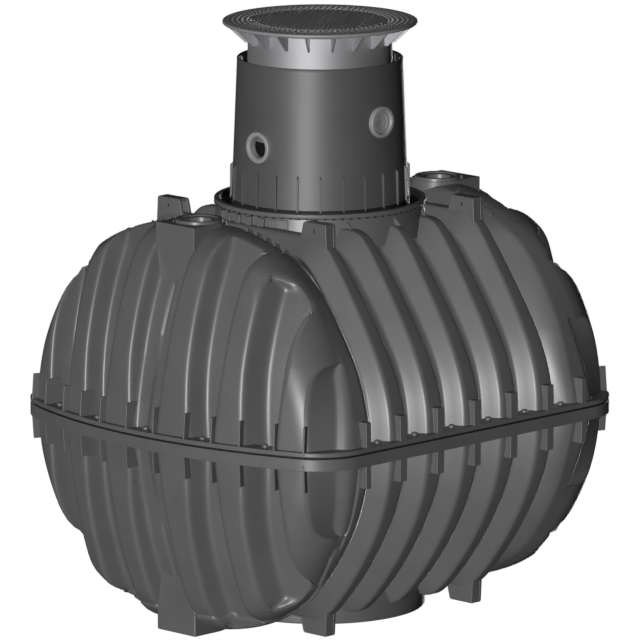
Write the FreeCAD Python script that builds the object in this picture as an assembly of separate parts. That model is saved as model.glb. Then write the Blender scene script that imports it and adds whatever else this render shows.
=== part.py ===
"""Underground rainwater tank: two ribbed half shells, access dome, telescopic shaft and cover.

Units are millimetres. +X runs along the tank, +Y across it, +Z up.
The origin is at the middle of the underside, on the surface that the tank stands on.
Shapes are modelled about the joint plane of the two half shells, then moved up onto that surface.
"""
import FreeCAD, Part
import math
import os

V = FreeCAD.Vector

# Overall sizes of the tank
HALF_HEIGHT = 910.0        # from the underside to the joint plane, and on to the neck rim
HALF_LENGTH = 1091.0       # rib crests of the ends at the joint plane
HALF_WIDTH = 935.0         # rib crests of the barrel at the joint plane
WALL = 16.0                # shell under the valley floors

# Telescopic shaft, lid and cover frame
SHAFT_R = 316.5
SHAFT_WALL = 12.0
SHAFT_SHOW = 164.0         # cover frame's top above the dome
SHAFT_OVERLAP = 351.0      # length of shaft inside the dome
SLIDE_FIT = 0.4
LID_INSET = 18.5           # lid's edge inside the shaft's outer face
LID_R = SHAFT_R - LID_INSET
LID_THICK = 18.0
LID_GAP = 5.5
LEDGE = 16.0
FRAME_OUT = 110.0          # frame's edge beyond the shaft
FRAME_R = SHAFT_R + FRAME_OUT
FRAME_THICK = 34.0
FRAME_RIM = 14.0           # height of the frame's outer edge
FRAME_HUB = 24.0           # level part of the frame's underside, outside the shaft
GUSSET_COUNT = 20
GUSSET_DROP = 62.0
GUSSET_THICK = 9.0
GUSSET_SHORT = 14.0        # gussets end this far inside the frame's edge
GUSSET_TOE = 12.0
GUSSET_GAP = 0.5           # between the gussets and the shaft

# Access dome
SHAFT_ROOM = 46.5          # dome's top edge outside the shaft
DOME_TAPER = 26.0
DOME_TOP_R = SHAFT_R + SHAFT_ROOM
DOME_BOTTOM_R = DOME_TOP_R + DOME_TAPER
DOME_HEIGHT = 651.0
DOME_WALL = 12.0
DOME_GAP = 0.5             # between the dome and the collar around it
FIN_COUNT = 24
FIN_HEIGHT = 150.0
FIN_OUT = 7.0
FIN_WIDE = 8.0
FIN_CLEAR = 8.0            # fins start this far above the collar
SEAL_EASE = 0.5
SEAL_SINK = 45.0           # seal below the dome's top edge
SEAL_HEIGHT = 38.0

# Outlets on the dome
OUTLET_R = 69.5
OUTLET_BORE = 94.0
OUTLET_EASE = 2.0          # the dome's own hole is this much larger in radius
OUTLET_OUT = 16.0
WEST_OUTLET_RISE = 263.0   # above the neck rim
SOUTH_OUTLET_RISE = 374.0
PLUG_SHORT = 10.0
PLUG_FIT = 0.5

# Neck collar
COLLAR_WIDE = 76.0         # from the dome's foot to the collar's edge
COLLAR_R = DOME_BOTTOM_R + COLLAR_WIDE
COLLAR_LEDGE = 30.0
COLLAR_DEPTH = 30.0        # ledge that carries the dome, below the neck rim
COLLAR_RIM = 26.0
COLLAR_RIM_OUT = 18.0
COLLAR_RIBS = 36
COLLAR_RIB_WIDE = 12.0
COLLAR_RIB_OUT = 13.5
COLLAR_RIB_DROP = 60.0
BASE_RING_WALL = 62.0

# Heights above the joint plane
NECK_RISE = 63.0           # neck rim above the barrel's rib crests
END_RISE = 53.0            # top of the ends above the barrel's rib crests
BARREL_TOP = HALF_HEIGHT - NECK_RISE
END_TOP = BARREL_TOP + END_RISE
COLLAR_SEAT = HALF_HEIGHT - COLLAR_DEPTH
DOME_TOP = COLLAR_SEAT + DOME_HEIGHT
SHAFT_BOTTOM = DOME_TOP - SHAFT_OVERLAP
FRAME_TOP = DOME_TOP + SHAFT_SHOW

# Curvature of the shell, as upright arcs from the joint plane to the top
SIDE_ARC = 1331.0
SIDE_MARGIN = 24.0         # flat top of the barrel beyond the collar
SIDE_HEAD = COLLAR_R + SIDE_MARGIN
END_ARC = 1750.0
END_LEAN = 249.0           # how far the end walls draw in by their top
END_HEAD = HALF_LENGTH - END_LEAN
END_PLAN_ARC = 2180.0      # bulge of the ends, seen from above
END_SHOULDER = 80.0        # rounding between the end walls and the top
SIDE_SHOULDER = 340.0      # rounding between the sides of the ends and the top
PLAN_CORNER = 215.0        # rounding between the ends and the sides, seen from above
CORNER_LIMIT = 0.85        # most that a corner may take of the half width

# Barrel ribs
RIB_PITCH = 230.0
RIB_STEPS = (-2, -1, 0, 1, 2)
RIB_CREST = 90.0           # width of a crest at the joint plane
RIB_TAPER = 0.024          # each side of a crest draws in by this share of the height
RIB_DEPTH = 80.0
RIB_FLANK = 43.0           # run of a flank along the tank
RIB_ROOT = 8.0             # a rib's flanks run on below the valley floor by this
BARREL_HALF = (RIB_STEPS[-1] + 1) * RIB_PITCH - RIB_CREST / 2 - RIB_FLANK
CROWN_MARGIN = 5.0
CROWN_HALF = COLLAR_R + CROWN_MARGIN

# End valleys between the end ribs: middle, and half widths at the valley levels
END_EDGE = 317.0           # outer valley, from the side of the tank
OUTER_VALLEY = HALF_WIDTH - END_EDGE
INNER_SHARE = 0.53         # inner valley, on the way to the outer one
INNER_VALLEY = INNER_SHARE * OUTER_VALLEY
VALLEYS = (
    (0.0, (77.0, 106.0, 120.0)),
    (INNER_VALLEY, (66.0, 87.0, 108.0)),
    (OUTER_VALLEY, (75.0, 91.0, 92.0)),
)
VALLEY_KNEE = 330.0
VALLEY_HEAD = 137.0        # the valleys run on above the top by this
VALLEY_LEVELS = (0.0, VALLEY_KNEE, END_TOP + VALLEY_HEAD)
VALLEY_DEPTH = 88.0
VALLEY_DRAFT = 24.0        # each valley wall leans in by this over the valley's depth
VALLEY_REACH = 1.5         # the cutter runs this many depths to both sides of the crest
FLOOR_PLAN_ARC = 1700.0    # bulge of the valley floors, seen from above
CAVITY_CORNER = 300.0
CAVITY_TOP = BARREL_TOP - RIB_DEPTH - WALL
CAVITY_SHOULDER = 138.0

# Notch between the last end rib and the corner rib on the side
NOTCH_DEPTH = 98.0
NOTCH_SLANT = 57.0         # run of the slanted wall over the notch's depth
NOTCH_RISE = 320.0         # the back wall leans in up to here, and the roof closes above it
NOTCH_LEAN = 40.0
NOTCH_ROOF = 60.0
CORNER_RIB = 60.0

# Flanges and joint
FLANGE_OUT = 28.0          # flange edge beyond the rib crests
UPPER_FLANGE = 20.0
LOWER_FLANGE = 53.0
JOINT_HALF = 4.0           # half of the seal's height between the flanges
SEAL_SETBACK = 12.0
SEAL_WIDTH = 40.0

# Pads at the feet of the barrel ribs, and webs at the feet of the end ribs
PAD_OUT = 26.0
PAD_HEIGHT = 106.0         # above the flange
PAD_SINK = 60.0
PAD_WIDE = 43.0
WEB_THICK = 9.0

# Lifting lugs, and the feet that mirror them
LUG_X = RIB_STEPS[-1] * RIB_PITCH
LUG_Y = 449.0
LUG_LENGTH = 135.0
LUG_WIDTH = 61.0
LUG_LEAN = 38.0
LUG_DRAFT = 8.0
LUG_EYE = 26.0

# End ports
PORT_INSET = 346.0
PORT_X = HALF_LENGTH - PORT_INSET
PORT_BLOCK_HALF = 118.0
PORT_FRONT = 148.0         # block's outer face from the port's axis
PORT_R = 103.0
PORT_BORE = 100.0          # way into the tank
PORT_SOCKET = 112.0        # takes a 110 pipe
PORT_RING = 25.0
PORT_GAP = 0.5             # between the ring and the recess that it sits in
PORT_SEAT = HALF_HEIGHT - PORT_RING

OUTLETS = (
    (HALF_HEIGHT + WEST_OUTLET_RISE, V(-1, 0, 0)),
    (HALF_HEIGHT + SOUTH_OUTLET_RISE, V(0, -1, 0)),
)
SECTION_SHARES = (0.0, 0.22, 0.42, 0.6, 0.76, 0.87, 0.94, 0.98, 1.0)
EAST = V(1, 0, 0)
UP = V(0, 0, 1)
PARTS = "parts"


def reach(level, foot, head, top, radius, inset):
    """Distance from the middle of the tank to an arc of that radius from foot to head, at a level."""
    lean = foot - head
    chord = math.hypot(lean, top)
    sink = math.sqrt(radius ** 2 - (chord / 2) ** 2)
    centre = (foot + head) / 2 - sink * top / chord
    below = sink * lean / chord - top / 2
    return centre + math.sqrt((radius - inset) ** 2 - (level + below) ** 2)


def side_reach(level, inset=0.0):
    return reach(level, HALF_WIDTH, SIDE_HEAD, BARREL_TOP, SIDE_ARC, inset)


def end_reach(level, inset=0.0):
    return reach(level, HALF_LENGTH, END_HEAD, END_TOP, END_ARC, inset)


def drawn_in(level, top, radius):
    """How far a rounded shoulder of that radius has drawn in at a level."""
    rise = max(0.0, level - top + radius)
    return radius - math.sqrt(radius ** 2 - rise ** 2)


def line(start, end):
    return Part.LineSegment(start, end).toShape()


def arc(start, middle, end):
    return Part.Arc(start, middle, end).toShape()


def polygon_face(corners):
    return Part.Face(Part.makePolygon(corners + corners[:1]))


def box(low, high):
    return Part.makeBox(high.x - low.x, high.y - low.y, high.z - low.z, low)


def tube(outer, inner, low, high):
    height = high - low
    solid = Part.makeCylinder(outer, height, V(0, 0, low))
    return solid.cut(Part.makeCylinder(inner, height, V(0, 0, low)))


def union(shapes):
    return shapes[0].multiFuse(shapes[1:]).removeSplitter()


def mirrored(shape, normal):
    return shape.mirror(V(0, 0, 0), normal)


def around(shape, count, offset=0.0):
    """Copies of a shape, spaced evenly about the upright axis."""
    copies = []
    for index in range(count):
        copy = shape.copy()
        copy.rotate(V(0, 0, 0), UP, 360.0 * (index + offset) / count)
        copies.append(copy)
    return copies


def barrel_section(x, inset, lean=0.0):
    """Closed arch across the barrel, with its foot on the joint, leaning along the tank."""
    top = BARREL_TOP - inset
    levels = (JOINT_HALF, 0.5 * top, top)
    points = [V(x + lean * level, side_reach(level, inset), level) for level in levels]
    across = [V(point.x, -point.y, point.z) for point in points]
    edges = [
        arc(*points),
        line(points[2], across[2]),
        arc(across[2], across[1], across[0]),
        line(across[0], points[0]),
    ]
    return Part.Wire(edges)


def plan_half(length, width, corner, bulge, inner, level):
    """Closed outline of the western half of a plan: sides, two corners and a bulged end."""
    side_y = width - corner
    focus = bulge - length
    corner_x = focus - math.sqrt((bulge - corner) ** 2 - side_y ** 2)
    turn = math.atan2(side_y, focus - corner_x)
    tangent = V(focus - bulge * math.cos(turn), bulge * math.sin(turn), level)
    half = 0.5 * (math.pi / 2 + turn)
    middle = V(corner_x - corner * math.cos(half), side_y + corner * math.sin(half), level)
    start = V(corner_x, width, level)
    inside = V(-inner, width, level)

    def flip(point):
        return V(point.x, -point.y, point.z)

    edges = [
        line(inside, start),
        arc(start, middle, tangent),
        arc(tangent, V(-length, 0, level), flip(tangent)),
        arc(flip(tangent), flip(middle), flip(start)),
        line(flip(start), flip(inside)),
        line(flip(inside), inside),
    ]
    return Part.Wire(edges)


def end_loft(end_inset, side_inset, bulge, corner, top, end_round, side_round):
    """Western end body, lofted through level outlines from the joint to the top."""
    wires = []
    for share in SECTION_SHARES:
        level = JOINT_HALF + share * (top - JOINT_HALF)
        length = end_reach(level, end_inset) - drawn_in(level, top, end_round)
        width = side_reach(level, side_inset) - drawn_in(level, top, side_round)
        radius = min(corner, CORNER_LIMIT * width)
        wires.append(plan_half(length, width, radius, bulge, 0.5 * BARREL_HALF, level))
    return Part.makeLoft(wires, True, False)


def flank_limit():
    """Space west of the barrel's last valley, with that valley's flank as its face."""
    wires = [
        barrel_section(-BARREL_HALF, RIB_DEPTH),
        barrel_section(-BARREL_HALF - 2 * RIB_FLANK, -RIB_DEPTH),
        barrel_section(-2 * HALF_LENGTH, -RIB_DEPTH),
    ]
    return Part.makeLoft(wires, True, True)


def valley(middle, halves):
    """Drafted space between two end ribs, to be cut down to the valley floor."""
    cut = VALLEY_REACH * VALLEY_DEPTH
    spread = VALLEY_REACH * VALLEY_DRAFT
    set_back = END_PLAN_ARC - math.sqrt(END_PLAN_ARC ** 2 - middle ** 2)
    wires = []
    for level, half in zip(VALLEY_LEVELS, halves):
        crest_x = set_back - end_reach(min(level, END_TOP))
        corners = [
            V(crest_x - cut, middle - half - spread, level),
            V(crest_x - cut, middle + half + spread, level),
            V(crest_x + cut, middle + half - spread, level),
            V(crest_x + cut, middle - half + spread, level),
        ]
        wires.append(Part.makePolygon(corners + corners[:1]))
    return Part.makeLoft(wires, True, True)


def valleys():
    """All valleys of the western end."""
    cutters = []
    for middle, halves in VALLEYS:
        cutters.append(valley(middle, halves))
        if middle:
            cutters.append(mirrored(cutters[-1], V(0, 1, 0)))
    return cutters


def corner_notches():
    """Notches in the two plan corners: a back wall, a slanted wall and a sloping roof."""
    edge_x = -(BARREL_HALF + RIB_FLANK + CORNER_RIB)
    outer_y = HALF_WIDTH + NOTCH_DEPTH
    wires = []
    for level, depth in (
        (0.0, NOTCH_DEPTH),
        (NOTCH_RISE, NOTCH_DEPTH + NOTCH_LEAN),
        (NOTCH_RISE + NOTCH_ROOF, NOTCH_DEPTH - NOTCH_LEAN),
    ):
        wall_y = HALF_WIDTH - depth
        corners = [
            V(edge_x - NOTCH_SLANT * depth / NOTCH_DEPTH, wall_y, level),
            V(edge_x + NOTCH_SLANT, outer_y, level),
            V(-2 * HALF_LENGTH, outer_y, level),
            V(-2 * HALF_LENGTH, wall_y, level),
        ]
        wires.append(Part.makePolygon(corners + corners[:1]))
    notch = Part.makeLoft(wires, True, True)
    return [notch, mirrored(notch, V(0, 1, 0))]


def pad(origin, turn, wide, flange):
    """Upright pad at the foot of a rib, facing outwards along the turned -X axis."""
    top = JOINT_HALF + flange + PAD_HEIGHT
    block = box(V(-PAD_OUT, -wide / 2, JOINT_HALF), V(PAD_SINK, wide / 2, top))
    block.rotate(V(0, 0, 0), UP, turn)
    return block.translated(origin)


def end_webs(flange):
    """Thin webs at the feet of the end ribs, just inside both edges of each crest."""
    places = []
    for middle, halves in VALLEYS:
        places.extend((middle - halves[0] - WEB_THICK, middle + halves[0] + WEB_THICK))
    places.append(HALF_WIDTH - NOTCH_DEPTH - WEB_THICK)
    webs = []
    for place in places[1:]:
        for web_y in (-place, place):
            turn = math.asin(web_y / END_PLAN_ARC)
            crest_x = END_PLAN_ARC * (1 - math.cos(turn)) - HALF_LENGTH
            webs.append(pad(V(crest_x, web_y, 0), -math.degrees(turn), WEB_THICK, flange))
    return webs


def flange_plate(thick):
    """Western half of the flange, outside the tank."""
    wire = plan_half(
        HALF_LENGTH + FLANGE_OUT, HALF_WIDTH + FLANGE_OUT, PLAN_CORNER + FLANGE_OUT,
        END_PLAN_ARC + FLANGE_OUT, 0.0, JOINT_HALF,
    )
    return Part.Face(wire).extrude(V(0, 0, thick))


def end_shell(flange, block_top, port_bore):
    """Western end of a half shell, above the joint plane."""
    floor = end_loft(VALLEY_DEPTH, RIB_DEPTH, FLOOR_PLAN_ARC, PLAN_CORNER, END_TOP, 0.0, 0.0)
    cavity = end_loft(
        VALLEY_DEPTH + WALL, RIB_DEPTH + WALL, FLOOR_PLAN_ARC - WALL,
        CAVITY_CORNER, CAVITY_TOP, CAVITY_SHOULDER, CAVITY_SHOULDER,
    )
    shell = end_loft(0.0, 0.0, END_PLAN_ARC, PLAN_CORNER, END_TOP, END_SHOULDER, SIDE_SHOULDER)
    for cutter in valleys():
        shell = shell.cut(cutter.cut(floor))
    for notch in corner_notches():
        shell = shell.cut(notch)
    block = box(
        V(-PORT_X - PORT_FRONT, -PORT_BLOCK_HALF, JOINT_HALF), V(-PORT_X, PORT_BLOCK_HALF, block_top),
    )
    back = Part.makeCylinder(PORT_BLOCK_HALF, block_top - JOINT_HALF, V(-PORT_X, 0, JOINT_HALF))
    west = box(V(-2 * HALF_LENGTH, -2 * HALF_WIDTH, JOINT_HALF), V(-BARREL_HALF, 2 * HALF_WIDTH, HALF_HEIGHT))
    rim = flange_plate(flange).common(west)
    shell = union([shell.common(flank_limit()), block, back, rim] + end_webs(flange))
    shell = shell.cut(cavity)
    if port_bore:
        shell = shell.cut(Part.makeCylinder(PORT_BORE / 2, block_top, V(-PORT_X, 0, 0)))
        shell = shell.cut(Part.makeCylinder(PORT_R + PORT_GAP, PORT_RING, V(-PORT_X, 0, PORT_SEAT)))
    return shell


def barrel_shell(flange):
    """Ribbed barrel of a half shell, open below, with its flanges and rib pads."""
    length = V(2 * BARREL_HALF, 0, 0)
    crest = RIB_CREST / 2
    root = RIB_DEPTH + RIB_ROOT
    foot = crest + RIB_FLANK * root / RIB_DEPTH
    solids = [Part.Face(barrel_section(-BARREL_HALF, RIB_DEPTH)).extrude(length)]
    for step in RIB_STEPS:
        middle = step * RIB_PITCH
        wires = [
            barrel_section(middle - foot, root, RIB_TAPER),
            barrel_section(middle - crest, 0.0, RIB_TAPER),
            barrel_section(middle + crest, 0.0, -RIB_TAPER),
            barrel_section(middle + foot, root, -RIB_TAPER),
        ]
        solids.append(Part.makeLoft(wires, True, True))
        for side in (-1, 1):
            solids.append(pad(V(middle, side * HALF_WIDTH, 0), -90 * side, PAD_WIDE, flange))
    edge = HALF_WIDTH + FLANGE_OUT
    solids.append(box(V(-BARREL_HALF, -edge, JOINT_HALF), V(BARREL_HALF, edge, JOINT_HALF + flange)))
    cavity = Part.Face(barrel_section(-BARREL_HALF, RIB_DEPTH + WALL)).extrude(length)
    return union(solids).cut(cavity)


def split_barrel(shell):
    """South side, north side and crown of a barrel."""
    band = box(V(-HALF_LENGTH, -CROWN_HALF, 0), V(HALF_LENGTH, CROWN_HALF, 2 * HALF_HEIGHT))
    sides = shell.cut(band)
    south = [solid for solid in sides.Solids if solid.CenterOfMass.y < 0]
    north = [solid for solid in sides.Solids if solid.CenterOfMass.y > 0]
    return Part.makeCompound(south), Part.makeCompound(north), shell.common(band)


def lugs(shell):
    """Four lugs on the shoulders of the outer ribs, seated on the shell."""
    low = BARREL_TOP - RIB_DEPTH
    near = LUG_Y - LUG_LENGTH / 2
    far = LUG_Y + LUG_LENGTH / 2
    made = []
    for side in (-1, 1):
        corners = [
            V(0, side * (near - LUG_LEAN), low),
            V(0, side * near, HALF_HEIGHT),
            V(0, side * far, HALF_HEIGHT),
            V(0, side * (far + LUG_DRAFT), low),
        ]
        plate = polygon_face(corners).extrude(V(LUG_WIDTH, 0, 0))
        for end in (-1, 1):
            left = end * LUG_X - LUG_WIDTH / 2
            eye_at = V(left, side * LUG_Y, HALF_HEIGHT - LUG_EYE)
            lug = plate.translated(V(left, 0, 0)).cut(Part.makeCylinder(LUG_EYE / 2, LUG_WIDTH, eye_at, EAST))
            made.append(lug.cut(shell))
    return Part.makeCompound(made)


def collar():
    """Neck ring with a ledge for the dome, a rim and upright ribs outside."""
    low = BARREL_TOP - RIB_DEPTH
    wall_r = COLLAR_R - COLLAR_RIM_OUT
    rim_low = HALF_HEIGHT - COLLAR_RIM
    seat_r = DOME_BOTTOM_R + DOME_GAP
    rib = box(
        V(wall_r - COLLAR_RIM_OUT, -COLLAR_RIB_WIDE / 2, rim_low - COLLAR_RIB_DROP),
        V(wall_r + COLLAR_RIB_OUT, COLLAR_RIB_WIDE / 2, rim_low),
    )
    solids = [
        tube(wall_r, DOME_BOTTOM_R - COLLAR_LEDGE, low, COLLAR_SEAT),
        tube(wall_r, seat_r, COLLAR_SEAT, HALF_HEIGHT),
        tube(COLLAR_R, seat_r, rim_low, HALF_HEIGHT),
    ]
    return union(solids + around(rib, COLLAR_RIBS))


def dome_radius(level):
    return DOME_BOTTOM_R - DOME_TAPER * (level - COLLAR_SEAT) / DOME_HEIGHT


def dome_body(inset):
    return Part.makeCone(DOME_BOTTOM_R - inset, DOME_TOP_R - inset, DOME_HEIGHT, V(0, 0, COLLAR_SEAT))


def dome():
    """Tapered access dome with short fins at its foot and two bored outlets."""
    fin_low = HALF_HEIGHT + FIN_CLEAR
    fin_high = fin_low + FIN_HEIGHT
    fin = box(
        V(dome_radius(fin_high) - DOME_WALL / 2, -FIN_WIDE / 2, fin_low),
        V(dome_radius(fin_low) + FIN_OUT, FIN_WIDE / 2, fin_high),
    )
    body = union([dome_body(0.0)] + around(fin, FIN_COUNT, 0.5)).cut(dome_body(DOME_WALL))
    for level, out in OUTLETS:
        body = body.cut(Part.makeCylinder(OUTLET_BORE / 2 + OUTLET_EASE, DOME_BOTTOM_R, V(0, 0, level), out))
    return body


def outlet(level, out):
    """Ring around a bored outlet, seated on the dome's face."""
    reach_out = dome_radius(level) + OUTLET_OUT
    ring = Part.makeCylinder(OUTLET_R, reach_out, V(0, 0, level), out)
    ring = ring.cut(Part.makeCylinder(OUTLET_BORE / 2, reach_out, V(0, 0, level), out))
    return ring.cut(dome_body(0.0))


def outlet_plug(level, out):
    """Blanking disc inside an outlet, stepped to bear on the inside of the ring."""
    reach_out = dome_radius(level) + OUTLET_OUT - PLUG_SHORT
    disc = Part.makeCylinder(OUTLET_BORE / 2 - PLUG_FIT, reach_out, V(0, 0, level), out)
    return disc.cut(dome_body(DOME_WALL))


def shaft_seal():
    """Ring inside the dome, below its rim, that guides the shaft."""
    high = DOME_TOP - SEAL_SINK
    return tube(dome_radius(high) - DOME_WALL - SEAL_EASE, SHAFT_R + SLIDE_FIT, high - SEAL_HEIGHT, high)


def cover_frame():
    """Wide ring on top of the shaft, recessed for the lid, with a sloping underside."""
    seat = FRAME_TOP - LID_THICK
    under = FRAME_TOP - FRAME_THICK
    recess = LID_R + LID_GAP
    corners = [
        V(recess, 0, FRAME_TOP),
        V(FRAME_R, 0, FRAME_TOP),
        V(FRAME_R, 0, FRAME_TOP - FRAME_RIM),
        V(SHAFT_R + FRAME_HUB, 0, under),
        V(recess - LEDGE, 0, under),
        V(recess - LEDGE, 0, seat),
        V(recess, 0, seat),
    ]
    return polygon_face(corners).revolve(V(0, 0, 0), UP, 360)


def cover_gussets():
    """Triangular gussets under the cover frame, around the shaft."""
    high = FRAME_TOP - FRAME_THICK
    inner = SHAFT_R + GUSSET_GAP
    hub = SHAFT_R + FRAME_HUB
    slope = (FRAME_THICK - FRAME_RIM) / (FRAME_R - hub)
    outer = FRAME_R - GUSSET_SHORT
    corners = [
        V(inner, 0, high),
        V(hub, 0, high),
        V(outer, 0, high + slope * (outer - hub)),
        V(inner + GUSSET_TOE, 0, high - GUSSET_DROP),
        V(inner, 0, high - GUSSET_DROP),
    ]
    gusset = polygon_face(corners).extrude(V(0, GUSSET_THICK, 0)).translated(V(0, -GUSSET_THICK / 2, 0))
    return Part.makeCompound(around(gusset, GUSSET_COUNT))


def joint_seal():
    """Flat seal between the two flanges."""
    rings = []
    for inset in (SEAL_SETBACK, SEAL_SETBACK + SEAL_WIDTH):
        edge = FLANGE_OUT - inset
        wire = plan_half(
            HALF_LENGTH + edge, HALF_WIDTH + edge, PLAN_CORNER + edge, END_PLAN_ARC + edge, 0.0, -JOINT_HALF,
        )
        west = Part.Face(wire).extrude(V(0, 0, 2 * JOINT_HALF))
        rings.append(union([west, mirrored(west, EAST)]))
    return rings[0].cut(rings[1])


def port_socket():
    ring = Part.makeCylinder(PORT_R, PORT_RING, V(-PORT_X, 0, PORT_SEAT))
    return ring.cut(Part.makeCylinder(PORT_SOCKET / 2, PORT_RING, V(-PORT_X, 0, PORT_SEAT)))


def upper_nodes():
    """Upper half shell, with its lugs, its neck opening and its two ends."""
    barrel = barrel_shell(UPPER_FLANGE)
    south, north, crown = split_barrel(barrel)
    neck = Part.makeCylinder(COLLAR_R, HALF_HEIGHT, V(0, 0, BARREL_TOP - RIB_DEPTH))
    bore = Part.makeCylinder(DOME_BOTTOM_R - COLLAR_LEDGE, HALF_HEIGHT)
    west = end_shell(UPPER_FLANGE, END_TOP, True)
    return {
        "upper_barrel_south": south,
        "upper_barrel_north": north,
        "upper_crown": crown.cut(neck).cut(bore),
        "upper_west_end": west,
        "upper_east_end": mirrored(west, EAST),
        "lifting_lugs": lugs(barrel),
    }


def lower_nodes():
    """Lower half shell, with its feet and the ring that it stands on."""
    barrel = barrel_shell(LOWER_FLANGE)
    south, north, crown = split_barrel(barrel)
    low = BARREL_TOP - RIB_DEPTH
    neck = Part.makeCylinder(COLLAR_R, HALF_HEIGHT, V(0, 0, low))
    west = end_shell(LOWER_FLANGE, HALF_HEIGHT, False)
    halves = {
        "lower_barrel_south": south,
        "lower_barrel_north": north,
        "bottom_panel": crown.cut(neck),
        "lower_west_end": west,
        "lower_east_end": mirrored(west, EAST),
        "support_feet": lugs(barrel),
        "base_ring": tube(COLLAR_R, COLLAR_R - BASE_RING_WALL, low, HALF_HEIGHT),
    }
    return {name: mirrored(shape, UP) for name, shape in halves.items()}


def neck_nodes():
    """Collar, ports, dome, outlets, shaft and cover."""
    west_outlet, south_outlet = OUTLETS
    return {
        "joint_seal": joint_seal(),
        "neck_collar": collar(),
        "west_port_socket": port_socket(),
        "east_port_socket": mirrored(port_socket(), EAST),
        "access_dome": dome(),
        "west_outlet_ring": outlet(*west_outlet),
        "south_outlet_ring": outlet(*south_outlet),
        "south_outlet_plug": outlet_plug(*south_outlet),
        "shaft_seal": shaft_seal(),
        "telescopic_shaft": tube(SHAFT_R, SHAFT_R - SHAFT_WALL, SHAFT_BOTTOM, FRAME_TOP - FRAME_THICK),
        "cover_frame": cover_frame(),
        "cover_gussets": cover_gussets(),
        "lid": Part.makeCylinder(LID_R, LID_THICK, V(0, 0, FRAME_TOP - LID_THICK)),
    }


def export():
    os.makedirs(PARTS, exist_ok=True)
    nodes = {**upper_nodes(), **lower_nodes(), **neck_nodes()}
    for name, shape in nodes.items():
        shape.translated(V(0, 0, HALF_HEIGHT)).exportStep(PARTS + "/" + name + ".step")


export()
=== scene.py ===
"""Looks of the underground rainwater tank: ribbed shells, flange, access dome, shaft and cover.

Sizes are in millimetres about the joint plane of the two half shells, and become metres in the frame.
"""
import math

import bmesh
import bpy
import numpy as np
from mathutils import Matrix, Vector


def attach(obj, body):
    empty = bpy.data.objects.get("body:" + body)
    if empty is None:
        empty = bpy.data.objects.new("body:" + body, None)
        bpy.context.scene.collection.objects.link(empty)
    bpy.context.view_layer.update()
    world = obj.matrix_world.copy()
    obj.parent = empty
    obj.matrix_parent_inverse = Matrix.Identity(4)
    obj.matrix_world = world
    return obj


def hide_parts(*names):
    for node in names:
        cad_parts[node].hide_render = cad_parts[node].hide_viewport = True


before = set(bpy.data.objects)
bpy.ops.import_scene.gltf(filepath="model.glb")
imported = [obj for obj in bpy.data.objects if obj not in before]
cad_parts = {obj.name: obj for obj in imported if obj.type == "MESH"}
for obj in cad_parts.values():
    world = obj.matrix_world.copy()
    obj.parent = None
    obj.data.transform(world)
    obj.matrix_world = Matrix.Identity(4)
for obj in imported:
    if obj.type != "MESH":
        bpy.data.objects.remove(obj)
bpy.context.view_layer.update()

METRE = 1000.0
JOINT = 910.0
EAST, NORTH, UP = (1, 0, 0), (0, 1, 0), (0, 0, 1)

# Radius at which the profile of a turned solid stops short of the axis
NEAR_AXIS = 0.01

# Overall sizes of the shells, and the arcs of their sides and ends: radius, and reach at the top
HALF_LENGTH, HALF_WIDTH = 1091.0, 935.0
BARREL_TOP, END_TOP = 847.0, 900.0
SIDE_ARC, SIDE_HEAD = 1331.0, 489.0
END_ARC, END_HEAD = 1750.0, 862.0
SHELL_FOOT, SHELL_THICK = 14.0, 10.0

# Plan of the ends: bulge of the crests and of the valley floors, and the corners
BULGE, FLOOR_BULGE = 2180.0, 1700.0
PLAN_CORNER, CORNER_LIMIT = 215.0, 0.85
END_SHOULDER, SIDE_SHOULDER = 170.0, 270.0

# Ridge in which an end meets the barrel: place, sink, and the run and levels over which it sinks
EAST_EDGE = -684.0
RIDGE_SINK, RIDGE_RUN, RIDGE_LOW, RIDGE_HIGH = 15.0, 140.0, 350.0, 650.0
RIDGE_CREST, RIDGE_CREST_SINK = -645.0, 24.0

# Barrel ribs: spacing, width of a crest, depth, run of a flank, and how far the arch swells
RIB_PITCH, RIB_CREST, RIB_TAPER = 230.0, 98.0, 0.024
RIB_DEPTH, RIB_FLANK = 87.0, 47.0
RIB_STEPS = (-2, -1, 0, 1, 2)
BARREL_HALF = 572.0
UPPER_SWELL, LOWER_SWELL = (-6.0, 18.0), (9.0, 7.0)
TOP_RUN, TOP_ROUND = 130.0, 62.0

# Valleys between the end ribs: half widths at three levels, depth, and how they run out at the ridge
INNER_VALLEY, OUTER_VALLEY = 327.5, 618.0
VALLEY_HALVES = {
    0.0: (77.0, 106.0, 120.0),
    INNER_VALLEY: (66.0, 87.0, 108.0),
    OUTER_VALLEY: (75.0, 91.0, 92.0),
}
VALLEY_LEVELS = (0.0, 330.0, 1032.0)
VALLEY_DEPTH, VALLEY_DRAFT = 88.0, 24.0
VALLEY_FADE, VALLEY_LEAST, VALLEY_NARROW = 100.0, 40.0, 90.0
FLOOR_BLEND, FLOOR_MARGIN = 22.0, 15.0

# Notch between the last end rib and the corner rib: its wall, its roof, and its step behind the rib
NOTCH_Y, NOTCH_LEAN, NOTCH_ROOF, NOTCH_ROUND = 838.0, 0.075, 315.0, 63.0
NOTCH_X, NOTCH_TILT, NOTCH_FILLET = 762.0, 0.14, 30.0
NOTCH_STEP, NOTCH_SHRINK = (-43.0, 51.0), 0.0008
NOTCH_EDGE, NOTCH_ROOT, CORNER_RIB = 14.0, 10.0, 0.08

# Fillets of the ribs, and the angles past which an edge is sharp
FILLET, CREST_FILLET, ROOT_FILLET = 22.0, 18.0, 14.0
FILLET_DEPTH, LEAST_FILLET = 40.0, 0.01
BEND_STEPS, CORNER_SHARE = 5, 0.46
SHARP, SHELL_SHARP, FLANGE_SHARP, COLLAR_SHARP, BOLT_SHARP, BEVEL_SHARP = 38.0, 50.0, 15.0, 16.0, 45.0, 40.0
MERGE = 2e-5

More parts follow.
